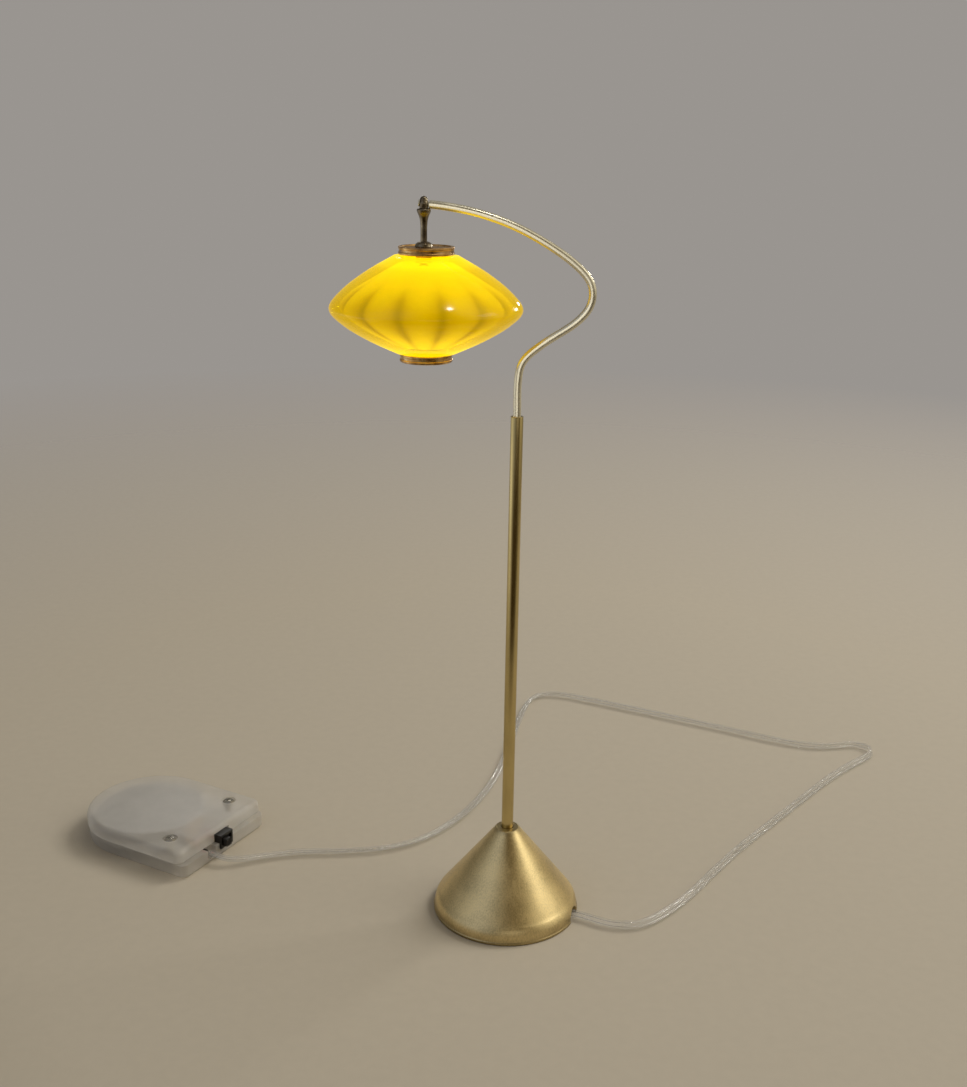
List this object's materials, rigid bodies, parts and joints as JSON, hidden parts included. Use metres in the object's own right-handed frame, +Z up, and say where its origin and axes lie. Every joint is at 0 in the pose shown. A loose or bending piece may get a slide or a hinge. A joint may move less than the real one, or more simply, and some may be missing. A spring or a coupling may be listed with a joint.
{
  "type": "miniature floor lamp",
  "caption": "Dollhouse arc floor lamp: conical brass foot, pole, bowed arm and yellow double-cone shade, with a clear twin lead to a coin-cell case.",
  "frame": {"origin": "centre of the conical foot's underside, on the surface the lamp stands on", "axes": "+Z up along the pole, +X to the side the arm bows out to, +Y away from the viewer"},
  "size_m": [0.1612, 0.1048, 0.12],
  "materials": {
    "satin_brass": "satin, fine turned grain",
    "tube_brass": "polished tube",
    "cap_brass": "aged brass",
    "bronze": "dark bronze",
    "iron": "rough ballast",
    "felt": "felt",
    "yellow_acrylic": "translucent, glossy",
    "core_acrylic": "ribbed, satin",
    "led_resin": "clear resin",
    "tinned_steel": "tinned",
    "frosted_plastic": "frosted, translucent",
    "nickel": "nickel plate",
    "cell_steel": "stainless can",
    "spring_bronze": "spring strip",
    "black_plastic": "moulded",
    "red_wire": "insulated wire",
    "black_wire": "insulated wire",
    "clear_pvc": "clear, glossy"
  },
  "bodies": {
    "stand": {"base_cone": "satin_brass", "base_weight": "iron", "base_pad": "felt", "pole_tube": "tube_brass", "pole_wire_pos": "red_wire", "pole_wire_neg": "black_wire", "case_tray": "frosted_plastic", "coin_cell": "cell_steel", "contact_positive": "spring_bronze", "contact_negative": "spring_bronze", "case_wire_pos": "red_wire", "case_wire_neg": "black_wire", "switch_wire": "red_wire", "switch_body": "black_plastic", "lead_cord": "clear_pvc"},
    "arm": {"arm_tube": "tube_brass", "arm_tip_pin": "tube_brass", "arm_wire_pos": "red_wire", "arm_wire_neg": "black_wire"},
    "shade": {"drop_stem": "bronze", "cap_collar": "bronze", "stem_ferrule": "tube_brass", "shade_cap_top": "cap_brass", "shade_shell": "yellow_acrylic", "shade_core": "core_acrylic", "shade_cap_bottom": "cap_brass", "led_body": "led_resin", "led_anode": "tinned_steel", "led_cathode": "tinned_steel", "drop_wire_pos": "red_wire", "drop_wire_neg": "black_wire"},
    "cover": {"case_cover": "frosted_plastic", "case_screw_near": "nickel", "case_screw_far": "nickel"},
    "slider": {"switch_slider": "black_plastic"}
  },
  "joints": [
    {"name": "arm_swivel", "type": "hinge", "parent": "stand", "child": "arm", "pos_m": [0, 0, 0.083], "axis": [0, 0, 1], "range_deg": [-90, 90]},
    {"name": "shade_sway", "type": "hinge", "parent": "arm", "child": "shade", "pos_m": [-0.0146, 0, 0.11889], "axis": [0.9943, 0, -0.1065], "range_deg": [-25, 25]},
    {"name": "cover_lift", "type": "slide", "parent": "stand", "child": "cover", "axis": [0, 0, 1], "range_m": [0, 0.012]},
    {"name": "switch_slide", "type": "slide", "parent": "stand", "child": "slider", "axis": [0.4756, 0.8797, 0], "range_m": [0, 0.0012]}
  ]
}
